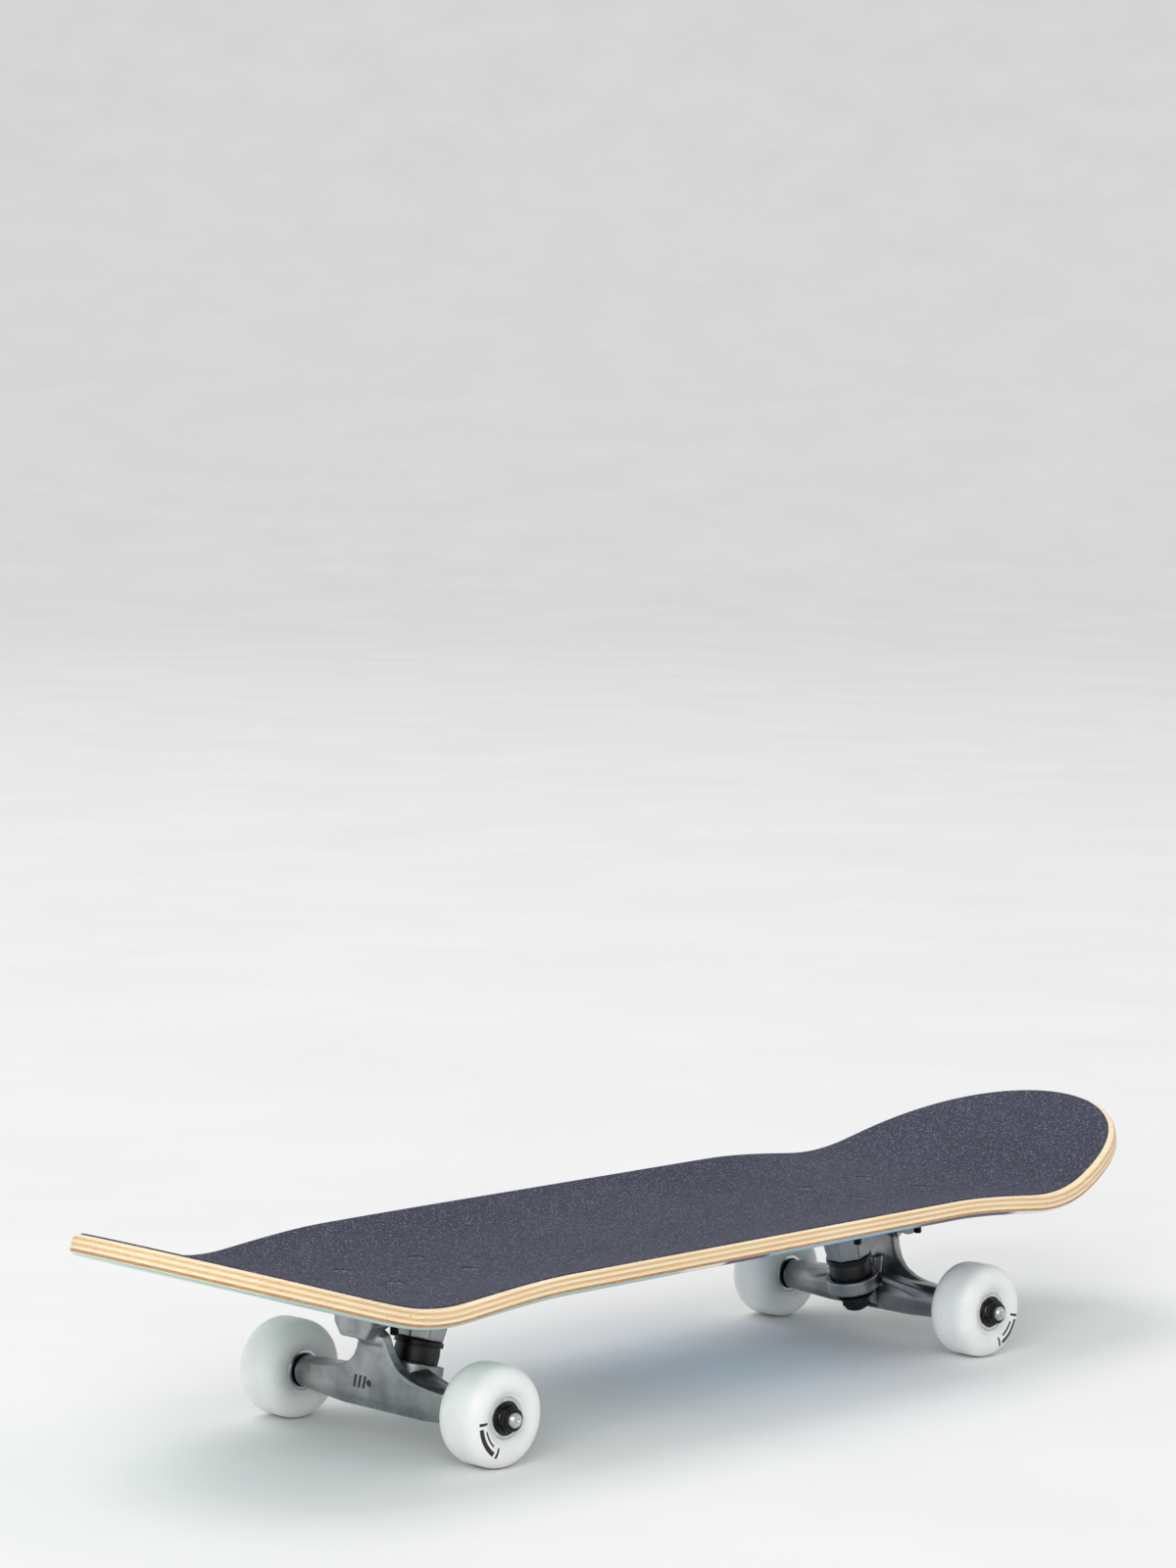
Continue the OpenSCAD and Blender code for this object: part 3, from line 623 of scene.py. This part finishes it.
bolt = {
    "radius": 2.4, "hole": 2.7, "head": 4.7, "headHeight": 2.4, "sink": 0.3, "length": 27.0,
    "pitch": 0.8, "slotLength": 3.2, "slotWidth": 1.0, "slotDepth": 1.5,
    "long": 53.98, "wide": 41.28, "clearance": 0.15,
    "nutFlats": 9.52, "nutHeight": 5.4, "nutCollar": 4.2, "nutCollarHeight": 1.5, "nutChamfer": 0.8,
}


def boltPlaces(end):
    # The pattern's middle comes from the bolts' own box
    middle = boxMiddle(f"{end}_deck_bolts")
    return [
        Matrix.Translation((middle.x + i * bolt["long"] / 2, j * bolt["wide"] / 2, gripTop - bolt["sink"]))
        for i in (-1, 1) for j in (-1, 1)]


def boltSeats():
    hole, head = bolt["hole"], bolt["head"] + bolt["clearance"]
    profile = [(0, -30), (hole, -30), (hole, -bolt["headHeight"]), (head, 0), (head, 4), (0, 4)]
    places = boltPlaces("nose") + boltPlaces("tail")
    return gathered(spun(profile, 40, ring=False), places)


def threads(radius, low, high, pitch, depth):
    # A saw-toothed line from low to high
    count = max(1, int(round((high - low) / pitch)))
    step = (high - low) / count
    line = []
    for k in range(count):
        line += [(radius - depth, low + k * step + step * 0.1), (radius, low + k * step + step * 0.45),
                 (radius, low + k * step + step * 0.6), (radius - depth, low + k * step + step * 0.95)]
    return line


def buildDeck():
    grip = carved(deckLayer(0, deck["grip"] - deck["glue"], deck["columns"], gripInsetAt), boltSeats())
    standIn(addPiece("gripTape", grip, gripLook(), angle=40), "board", "grit", "griptape")
    pale = (6, 300, 1700)
    crossed = (300, 6, 1500)
    looks = {
        "light": mapleLook("mapleLight", colour(251, 238, 210), colour(241, 219, 182), pale, 0.25),
        "tan": mapleLook("mapleTan", colour(236, 202, 154), colour(214, 174, 124), pale, 0.4),
        "deep": mapleLook("mapleDeep", colour(206, 162, 114), colour(172, 126, 86), crossed, 0.45),
        "printed": graphicLook(),
    }
    order = ["light", "deep", "light", "tan", "light", "tan", "light"]
    for number in range(deck["plies"], 0, -1):
        top = deck["grip"] + (deck["plies"] - number) * deck["ply"]
        shown = number in (1, deck["plies"])
        layer = deckLayer(top, top + deck["ply"], deck["columns" if shown else "hiddenColumns"], edgeInset)
        layer = carved(layer, boltSeats())
        kind = order[number - 1]
        faces = [looks[kind]]
        if number == 1:
            faces.append(looks["printed"])
            layer.normal_update()
            for f in layer.faces:
                f.material_index = 1 if f.normal.z < -0.45 else 0
        piece = addPiece(f"deckPly{number}", layer, faces, angle=40)
        slot = "graphic_ply" if number == 1 else "maple_light" if number % 2 else "maple_tan"
        standIn(piece, "board", slot, f"deck_ply_{number}")
    print("deck made")


# Bolts and nuts

def boltShape():
    head, length, radius = bolt["head"], bolt["length"], bolt["radius"]
    tip = -length
    profile = [(0, tip), (radius - 0.6, tip), (radius, tip + 0.7)]
    profile += threads(radius, tip + 1, -12, bolt["pitch"], 0.35)
    profile += [(radius, -11.5), (radius, -bolt["headHeight"]), (head - 0.1, -0.35), (head, -0.15),
                (head - 0.15, 0.0), (0, 0.08)]
    shape = spun(profile, 40, ring=False)
    for quarter in (0, 1):
        slot = bmesh.new()
        bmesh.ops.create_cube(slot, size=1)
        size = (bolt["slotLength"], bolt["slotWidth"], 2 * bolt["slotDepth"])
        bmesh.ops.scale(slot, vec=size, verts=slot.verts)
        low = [v for v in slot.verts if v.co.z < 0]
        bmesh.ops.scale(slot, vec=(0.45, 0.6, 1), verts=low)
        turn = Matrix.Rotation(math.pi / 2 * quarter, 3, "Z")
        bmesh.ops.rotate(slot, cent=(0, 0, 0), matrix=turn, verts=slot.verts)
        shape = carved(shape, slot)
    return shape


def nutShape(acrossFlats, height, bore, collar, collarHeight, chamfer=1.0):
    # A hexagon with turned corners, a round collar at the top and a threaded hole
    corner = acrossFlats / 2 / math.cos(math.pi / 6)
    hexTop = height - collarHeight
    block = prism(6, acrossFlats, 0, hexTop)
    flat = acrossFlats / 2 * 0.97
    lens = spun([
        (0, 0), (flat, 0), (corner + 0.3, chamfer * 0.75), (corner + 0.3, hexTop - chamfer * 0.75),
        (flat, hexTop), (0, hexTop)], 72, ring=False)
    block = carved(block, lens, "INTERSECT")
    ring = spun(rounded([
        (bore, hexTop - 0.6), (collar, hexTop - 0.6), (collar, height), (bore + 0.4, height)],
        [0, 0, collarHeight * 0.55, 0.3]), 72)
    hole = spun([(0, -2), (bore + 0.5, -2), (bore + 0.5, -0.01), (bore, 0.6)]
                + [(bore, height - 1.2), (bore, height + 2), (0, height + 2)], 72, ring=False)
    return carved(carved(block, ring, "UNION"), hole)


# Trucks

truck = {
    "voxel": 0.00065, "smoothing": 9, "smoothFactor": 0.5,
}


def castPiece(name, node, look):
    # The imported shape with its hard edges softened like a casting's
    source = bmesh.new()
    source.from_mesh(frame["nodes"][node].data)
    bmesh.ops.remove_doubles(source, verts=source.verts, dist=1e-6)
    mesh = bpy.data.meshes.new("casting")
    source.to_mesh(mesh)
    source.free()
    body = bpy.data.objects.new("casting", mesh)
    bpy.context.scene.collection.objects.link(body)
    cells = body.modifiers.new("cells", "REMESH")
    cells.mode = "VOXEL"
    cells.voxel_size = truck["voxel"]
    soft = body.modifiers.new("soft", "SMOOTH")
    soft.factor = truck["smoothFactor"]
    soft.iterations = truck["smoothing"]
    return addPiece(name, bakedShape([body]), look, angle=60, scale=1.0)


kingpin = {
    "radius": 4.76, "end": -34.4, "headFlats": 14.28, "headLow": 18.6, "headHigh": 24.2,
    "cup": 13.3, "cupWall": 0.8, "washer": 1.6, "hole": 4.96, "roadWasher": 10.6, "roadZ": -24.3,
    "nutFlats": 14.28, "nutHeight": 7.2, "collar": 2.0, "collarRadius": 6.8, "pitch": 1.06,
}
bushing = {
    "hole": 5.1, "boardRadius": 12.1, "boardTop": -1.65, "boardLow": -13.85, "boardBulge": 0.35,
    "roadTop": -18.65, "roadTopRadius": 11.9, "roadLow": -24.25, "roadLowRadius": 9.6,
}
pivot = {"inner": 3.98, "outer": 5.18, "depth": 4.5, "floor": 1.0, "pinStart": 2.57}


def buildTruck(end, looks):
    board, turning = "board", f"{end}_truck"
    king, steer = kingpinPlace(end), steerPlace(end)
    centre = Vector((boxMiddle(f"{end}_axle").x, 0, boxMiddle(f"{end}_axle").z)) * mm
    cast = castLook(f"{end}Cast", tuple(centre), marks=end == "tail")
    standIn(castPiece(f"{end}Hanger", f"{end}_hanger", cast), turning, "cast_aluminium", f"{end}_hanger")
    plate = castPiece(f"{end}Baseplate", f"{end}_baseplate", looks["plate"])
    standIn(plate, board, "cast_aluminium", f"{end}_baseplate")

    radius, low = kingpin["radius"], kingpin["end"]
    rod = [(0, low), (radius - 1.1, low), (radius - 0.3, low + 0.9)]
    rod += threads(radius, low + 1, -14, kingpin["pitch"], 0.45)
    rod += [(radius, -13.5), (radius, kingpin["headLow"] + 1), (0, kingpin["headLow"] + 1)]
    block = prism(6, kingpin["headFlats"], kingpin["headLow"] + 0.05, kingpin["headHigh"] + 0.05)
    bmesh.ops.bevel(
        block, geom=block.edges[:], offset=0.5, segments=2, profile=0.5, affect="EDGES", material=-1)
    pin = carved(spun(rod, 56, ring=False), block, "UNION")
    standIn(addPiece(f"{end}Kingpin", pin, looks["black"], king), board, "black_steel", f"{end}_kingpin")

    cup, wall, thick, hole = (kingpin[k] for k in ("cup", "cupWall", "washer", "hole"))
    rim = -washerSpan["boardRim"]
    dish = rounded([
        (hole, 0), (cup, 0), (cup, rim), (cup - wall, rim), (cup - wall, -thick), (hole, -thick)],
        [0.2, 1.1, 0.3, 0.3, 0.5, 0.2])
    piece = addPiece(f"{end}BoardWasher", spun(dish), looks["black"], king)
    standIn(piece, board, "black_steel", f"{end}_board_washer")
    ring = rounded([(hole, 0), (kingpin["roadWasher"], 0), (kingpin["roadWasher"], -thick), (hole, -thick)],
                   [0.2, 0.5, 0.5, 0.2])
    place = king @ Matrix.Translation((0, 0, kingpin["roadZ"]))
    standIn(addPiece(f"{end}RoadWasher", spun(ring), looks["black"], place), board, "black_steel",
            f"{end}_road_washer")
    nut = nutShape(kingpin["nutFlats"], kingpin["nutHeight"], radius + 0.05, kingpin["collarRadius"],
                   kingpin["collar"])
    place = king @ Matrix.Translation((0, 0, kingpin["roadZ"] - thick)) @ Matrix.Rotation(math.pi, 4, "X")
    standIn(addPiece(f"{end}KingpinNut", nut, looks["black"], place), board, "black_steel",
            f"{end}_kingpin_nut")

    buildBushings(end, king, looks["bushing"])
    floor = Matrix.Translation((0, 0, steerLength(end) - pivot["pinStart"]))
    cupShape = rounded([
        (0, pivot["depth"] - pivot["floor"]), (pivot["inner"], pivot["depth"] - pivot["floor"]),
        (pivot["inner"], 0), (pivot["outer"], 0), (pivot["outer"], pivot["depth"]), (0, pivot["depth"])],
        [0, 0.5, 0.3, 0.3, 0.6, 0], ring=False)
    piece = addPiece(f"{end}PivotCup", spun(cupShape, 64, ring=False), looks["cup"], steer @ floor)
    standIn(piece, board, "cup_nylon", f"{end}_pivot_cup")

    deckNut = nutShape(
        bolt["nutFlats"], bolt["nutHeight"], bolt["radius"] + 0.05, bolt["nutCollar"],
        bolt["nutCollarHeight"], bolt["nutChamfer"])
    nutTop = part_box(f"{end}_deck_nuts")[1].z / mm
    flip = Matrix.Rotation(math.pi, 4, "X")
    spots = [Matrix.Translation((m.translation.x, m.translation.y, nutTop)) @ flip for m in boltPlaces(end)]
    piece = addPiece(f"{end}DeckNuts", gathered(deckNut, spots), looks["black"])
    standIn(piece, board, "black_steel", f"{end}_deck_nuts")
    piece = addPiece(f"{end}DeckBolts", gathered(boltShape(), boltPlaces(end)), looks["black"])
    standIn(piece, board, "black_steel", f"{end}_deck_bolts")
    print(end, "truck made")


def steerLength(end):
    # From the ring's centre to the pivot's tip
    low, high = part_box(f"{end}_pivot_cup")
    axis = Vector(jointAt[f"{end}_steer"]["axis"]).normalized()
    middle = (low + high) / 2 / mm - Vector(jointAt[f"{end}_steer"]["pos_m"]) / mm
    return middle.dot(axis) - pivot["depth"] / 2 + pivot["pinStart"]


def buildBushings(end, king, look):
    top, low, radius = (bushing[k] for k in ("boardTop", "boardLow", "boardRadius"))
    hole, bulge = bushing["hole"], bushing["boardBulge"]
    middle = (top + low) / 2
    barrel = rounded([
        (hole, top), (radius - 0.3, top), (radius + bulge, middle), (radius - 0.3, low), (hole, low)],
        [0.4, 1.3, 4.0, 1.3, 0.4], 6)
    piece = addPiece(f"{end}BoardBushing", spun(barrel, 72), look, king)
    tuple(king @ Vector((0, 0, top)) * mm)
    tuple(king @ Vector((0, 0, low)) * mm)
    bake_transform(piece)
    standIn(piece, None, "bushing_urethane", f"{end}_board_bushing")
    top, low = bushing["roadTop"], bushing["roadLow"]
    cone = rounded([
        (hole, top), (bushing["roadTopRadius"], top), (bushing["roadLowRadius"], low), (hole, low)],
        [0.4, 1.0, 1.0, 0.4], 5)
    piece = addPiece(f"{end}RoadBushing", spun(cone, 72), look, king)
    tuple(king @ Vector((0, 0, low)) * mm)
    tuple(king @ Vector((0, 0, top)) * mm)
    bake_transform(piece)
    standIn(piece, None, "bushing_urethane", f"{end}_road_bushing")


# Axles, bearings and wheels

axle = {
    "radius": 3.97, "length": 192.4, "threadFrom": 84.0, "pitch": 1.06, "washer": 0.8, "washerRadius": 6.2,
    "washerHole": 4.1,
    "nutFlats": 12.7, "nutHeight": 5.4, "collar": 1.6, "collarRadius": 5.9, "nutTurn": 0.35,
}
bearing = {"width": 7.0, "radius": 11.0, "land": 8.9, "spacer": 10.0, "shieldIn": 6.3, "shieldOut": 8.85,
           "shieldSet": 0.35, "shieldThick": 0.4}
wheel = {
    "radius": 26.5, "width": 29.0, "tread": 9.0, "lip": 18.0, "mouth": 12.2, "mouthZ": 12.3,
    "dish": (14.4, 13.8),
    "lipSteps": 18, "lipPower": 0.86, "seat": 11.03, "core": 9.4,
    "printTurn": {"nose": -0.75, "tail": -2.6},
}
hubWidth = 2 * bearing["width"] + bearing["spacer"]


def buildAxle(end, looks):
    radius, half = axle["radius"], axle["length"] / 2
    start = axle["threadFrom"]
    tip = [(radius, start)] + threads(radius, start + 0.4, half - 1, axle["pitch"], 0.4)
    tip += [(radius - 0.15, half - 0.9), (radius - 0.85, half), (1.3, half), (0.9, half - 0.5)]
    tip += [(0, half - 1.1)]
    other = [(r, -z) for r, z in reversed(tip)]
    rod = spun(other + tip, 64, ring=False)
    turn = Matrix.Rotation(math.radians(-90), 4, "X")
    place = Matrix.Translation(boxMiddle(f"{end}_axle")) @ turn
    piece = addPiece(f"{end}Axle", rod, looks["bright"], place)
    standIn(piece, f"{end}_truck", "bright_steel", f"{end}_axle")
    nut = nutShape(axle["nutFlats"], axle["nutHeight"], radius + 0.03, axle["collarRadius"], axle["collar"])
    out = hubWidth / 2 + axle["washer"]
    spots = [
        hubPlace(end, side) @ Matrix.Translation((0, 0, out))
        @ Matrix.Rotation(axle["nutTurn"] * sides[side], 4, "Z") for side in sides]
    piece = addPiece(f"{end}AxleNuts", gathered(nut, spots), looks["black"])
    standIn(piece, f"{end}_truck", "black_steel", f"{end}_axle_nuts")
    thick = axle["washer"] - 0.1
    hole, rim = axle["washerHole"], axle["washerRadius"]
    ring = rounded([(hole, -thick / 2), (rim, -thick / 2), (rim, thick / 2), (hole, thick / 2)], 0.18, 3)
    spots = [hubPlace(end, side) @ Matrix.Translation((0, 0, k * (hubWidth + axle["washer"]) / 2))
             for side in sides for k in (-1, 1)]
    piece = addPiece(f"{end}AxleWashers", gathered(spun(ring, 64), spots), looks["bright"])
    standIn(piece, f"{end}_truck", "bright_steel", f"{end}_axle_washers")


def wheelProfile():
    # Half of it, from the core out to the middle of the tread
    core, seat, step = wheel["core"], wheel["seat"], bearing["spacer"] / 2
    half = [(core, 0), (core, step), (seat, step), (seat, hubWidth / 2),
            (wheel["mouth"], wheel["mouthZ"]), wheel["dish"]]
    flat, reach = wheel["tread"] / 2, wheel["radius"] - wheel["lip"]
    lip = []
    for k in range(wheel["lipSteps"], -1, -1):
        turn = math.pi / 2 * k / wheel["lipSteps"]
        lip.append((wheel["lip"] + reach * max(0, math.cos(turn)) ** wheel["lipPower"],
                    flat + (wheel["width"] / 2 - flat) * math.sin(turn) ** wheel["lipPower"]))
    half = rounded(half + [lip[0]], [0, 0.3, 0.15, 0.3, 1.2, 2.2, 0], 5, ring=False) + lip[1:]
    return half + [(r, -z) for r, z in reversed(half)]


def buildRoller(end, side, looks):
    body = f"{end}_{side}_roller"
    name = f"{end}{side.capitalize()}"
    place = hubPlace(end, side)
    look = wheelLook(f"{name}Urethane", hubCentre(end, side) * mm, sides[side], wheel["printTurn"][end])
    piece = addPiece(f"{name}Wheel", spun(wheelProfile(), 144), look, place, 32)
    standIn(piece, body, "wheel_urethane", f"{end}_{side}_wheel")
    half, outer, land = bearing["width"] / 2 - 0.05, bearing["radius"], bearing["land"]
    race = rounded([(land, half), (outer, half), (outer, -half), (land, -half), (land, -2.0), (9.5, -1.2),
                    (9.55, 0), (9.5, 1.2), (land, 2.0)], [0.15, 0.5, 0.5, 0.15, 0, 0.4, 0.4, 0.4, 0], 3)
    middle = (bearing["spacer"] + bearing["width"]) / 2
    spots = [place @ Matrix.Translation((0, 0, k * middle)) for k in (-1, 1)]
    piece = addPiece(f"{name}OuterRaces", gathered(spun(race, 80), spots), looks["race"])
    standIn(piece, body, "race_steel", f"{end}_{side}_outer_races")
    inner, rim, thick = bearing["shieldIn"], bearing["shieldOut"], bearing["shieldThick"]
    cover = rounded([(inner, 0), (inner, thick), (inner + 0.5, thick), (inner + 0.8, thick - 0.15),
                     (rim - 0.8, thick - 0.15), (rim - 0.5, thick), (rim, thick), (rim, 0)], 0.08, 2)
    low = bearing["width"] / 2 - bearing["shieldSet"] - thick
    faces = []
    for spot in spots:
        faces += [spot @ Matrix.Translation((0, 0, low)),
                  spot @ Matrix.Rotation(math.pi, 4, "X") @ Matrix.Translation((0, 0, low))]
    piece = addPiece(f"{name}Shields", gathered(spun(cover, 64), faces), looks["shield"])
    standIn(piece, body, "shield", f"{end}_{side}_bearing_shields")


def keepNodes(looks):
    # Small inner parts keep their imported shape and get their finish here
    finishes = {"inner_races": "race", "bearing_spacers": "bright", "balls": "race", "ball_cages": "cage"}
    for node, item in frame["nodes"].items():
        for ending, finish in finishes.items():
            if node.endswith(ending) and not node.endswith("outer_races"):
                item.data.materials.clear()
                item.data.materials.append(looks[finish])


def floorLook():
    look = Look("paleFloor")
    place = look.place()
    cloud = look.noise(place, 3.5, 4.0, 0.6)
    speck = look.noise(place, 260, 3.0, 0.7)
    tone = look.mixed(look.spread(cloud, 0.3, 0.7), colour(240, 240, 240), colour(244, 244, 244))
    fine = look.mixed(look.spread(speck, 0.6, 0.85, 0.0, 0.12), tone, colour(205, 205, 202))
    return look.surface(Base_Color=fine, Roughness=0.7, Normal=look.bumped(speck, 0.1, 0.0004))


def buildFloor():
    # A round floor whose edge sweeps up out of sight
    reach, rise, steps = studio["floorReach"], studio["sweepRise"], studio["sweepSteps"]
    arc = [math.pi / 2 * k / steps for k in range(steps + 1)]
    profile = [(0, 0), (reach * 0.5, 0)] + [
        (reach + rise * math.sin(t), rise * (1 - math.cos(t))) for t in arc]
    floor = addPiece("floor", spun(profile, studio["floorSides"], ring=False), floorLook(), scale=1.0)


def buildWorld():
    world = bpy.data.worlds.new("soft")
    world.use_nodes = True
    back = world.node_tree.nodes["Background"]
    back.inputs["Color"].default_value = studio["worldColour"]
    back.inputs["Strength"].default_value = studio["worldStrength"]
    bpy.context.scene.world = world
    bpy.context.scene.view_settings.view_transform = "Standard"


setCamera()
buildFloor()
buildWorld()
softLight("key", studio["keyPlace"], studio["keySize"], studio["keyPower"])
softLight("fill", studio["fillPlace"], studio["fillSize"], studio["fillPower"])
finishes = {
    "plate": castLook("plateCast", (0, 0, 0)),
    "black": steelLook("blackSteel", colour(28, 28, 30), colour(14, 14, 15), 0.26, 0.5, 0.15),
    "bright": steelLook("brightSteel", colour(206, 208, 212), colour(170, 172, 176), 0.2),
    "race": steelLook("raceSteel", colour(214, 216, 220), colour(184, 186, 190), 0.12, 1.0, 0.1, 0.04),
    "bushing": urethaneLook("bushingRubber", colour(17, 17, 18), colour(10, 10, 11), 0.3),
    "cup": urethaneLook("cupRubber", colour(24, 24, 25), colour(16, 16, 17), 0.4),
    "shield": urethaneLook("sealRubber", colour(20, 20, 21), colour(12, 12, 13), 0.36),
    "cage": urethaneLook("cageNylon", colour(226, 224, 210), colour(208, 206, 192), 0.4, 0.1),
}
print("finishes made")
buildDeck()
for end in ends:
    buildTruck(end, finishes)
    buildAxle(end, finishes)
    for side in sides:
        buildRoller(end, side, finishes)
keepNodes(finishes)
print("wheels and axles made")
